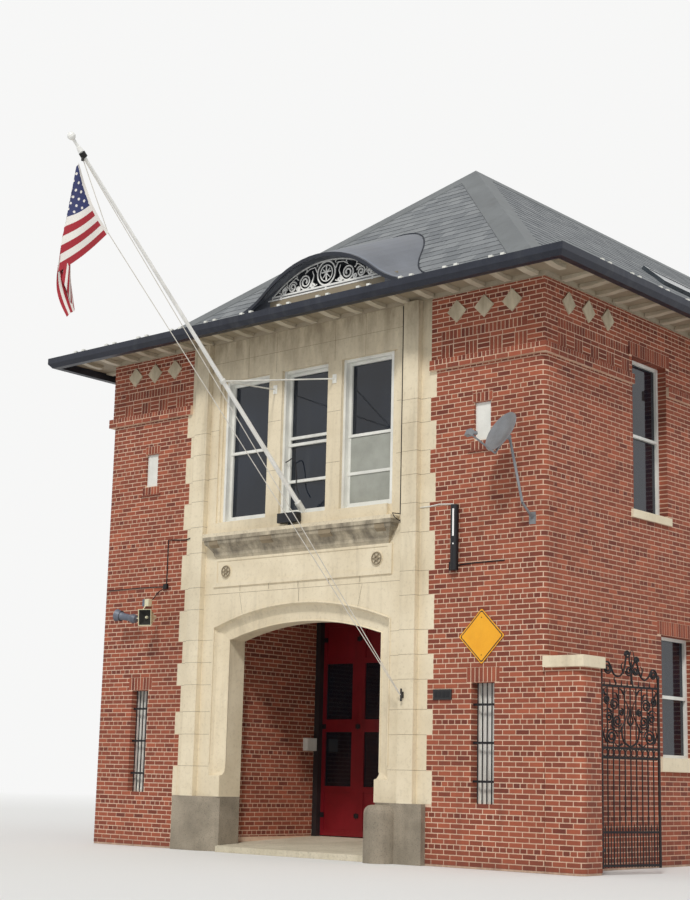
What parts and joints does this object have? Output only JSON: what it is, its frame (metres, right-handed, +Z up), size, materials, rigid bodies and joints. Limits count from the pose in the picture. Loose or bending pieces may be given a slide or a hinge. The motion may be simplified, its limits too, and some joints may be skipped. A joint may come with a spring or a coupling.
{
  "type": "fire station building",
  "caption": "Two-storey hollow brick station with an arched stone porch, folding doors, hipped slate roof, eyebrow dormer, raking flagpole and iron side gate.",
  "frame": {"origin": "at ground level on the front wall face, midway between the side walls, on the underside of the porch floor", "axes": "+X along the front to the right seen from the street, +Y into the building along its length, +Z up"},
  "size_m": [10.7, 23.224, 12.1664],
  "materials": {
    "brick": "fired red brick in raised cream mortar",
    "limestone": "smooth tooled limestone",
    "granite": "hammered grey granite",
    "plaster": "painted plaster",
    "concrete": "trowelled concrete",
    "floor_boards": "worn boards",
    "red_paint": "gloss red paint on wood",
    "dark_paint": "dark paint on wood",
    "window_glass": "clear window glass, dark behind",
    "white_paint": "white paint on wood",
    "eaves_paint": "taupe paint on wood",
    "gutter_metal": "blue-black painted gutter",
    "slate": "riven grey-green slate",
    "cap_metal": "weathered grey sheet",
    "roof_light_glass": "dark framed roof light",
    "eyebrow_metal": "dark blue-grey sheet",
    "grille_paint": "cream painted iron",
    "pole_paint": "white painted pole",
    "black_iron": "black painted iron",
    "rope": "braided rope",
    "flag_cloth": "striped flag cloth",
    "dish_metal": "grey painted dish",
    "horn_metal": "grey and cream painted horns",
    "light_metal": "white painted light housings"
  },
  "bodies": {
    "station": {"arch_head": "limestone", "arch_jamb_left": "limestone", "arch_jamb_right": "limestone", "brick_band": "brick", "door_frame": "dark_paint", "door_glass": "window_glass", "door_leaf_1": "red_paint", "door_leaf_2": "red_paint", "door_leaf_3": "red_paint", "door_leaf_4": "red_paint", "eaves": "eaves_paint", "eyebrow_grille": "grille_paint", "eyebrow_rim": "eyebrow_metal", "eyebrow_roof": "eyebrow_metal", "flag": "flag_cloth", "flagpole": "pole_paint", "frieze_diamonds": "limestone", "front_wall_left": "brick", "front_wall_right": "brick", "front_window_glass": "window_glass", "front_windows": "white_paint", "gate_pier": "brick", "granite_base_left": "granite", "granite_base_right": "granite", "ground_floor": "concrete", "guard_stone": "granite", "gutter": "gutter_metal", "halyard": "rope", "horn_speakers": "horn_metal", "iron_fittings": "black_iron", "left_wall": "brick", "modillions": "eaves_paint", "mullion_left": "limestone", "mullion_right": "limestone", "panel_over_arch": "limestone", "pier_cap": "limestone", "porch_ceiling": "plaster", "porch_floor": "concrete", "porch_wall_left": "brick", "porch_wall_right": "brick", "quoin_pier_left": "limestone", "quoin_pier_right": "limestone", "rear_wall": "brick", "ridge_caps": "cap_metal", "right_wall": "brick", "roof_light": "roof_light_glass", "satellite_dish": "dish_metal", "side_sills": "limestone", "side_window_glass": "window_glass", "side_windows": "white_paint", "sill_cornice": "limestone", "slate_roof": "slate", "small_windows": "white_paint", "upper_floor": "floor_boards", "wall_lights": "light_metal", "window_jamb_left": "limestone", "window_jamb_right": "limestone", "window_lintel": "limestone", "window_sill": "limestone"},
    "gate": {"gate_leaf": "black_iron"}
  },
  "joints": [
    {"name": "gate_hinge", "type": "hinge", "parent": "station", "child": "gate", "pos_m": [5.05, 0.52, 0.3], "axis": [0, 0, 1], "range_deg": [-76, 8]}
  ]
}
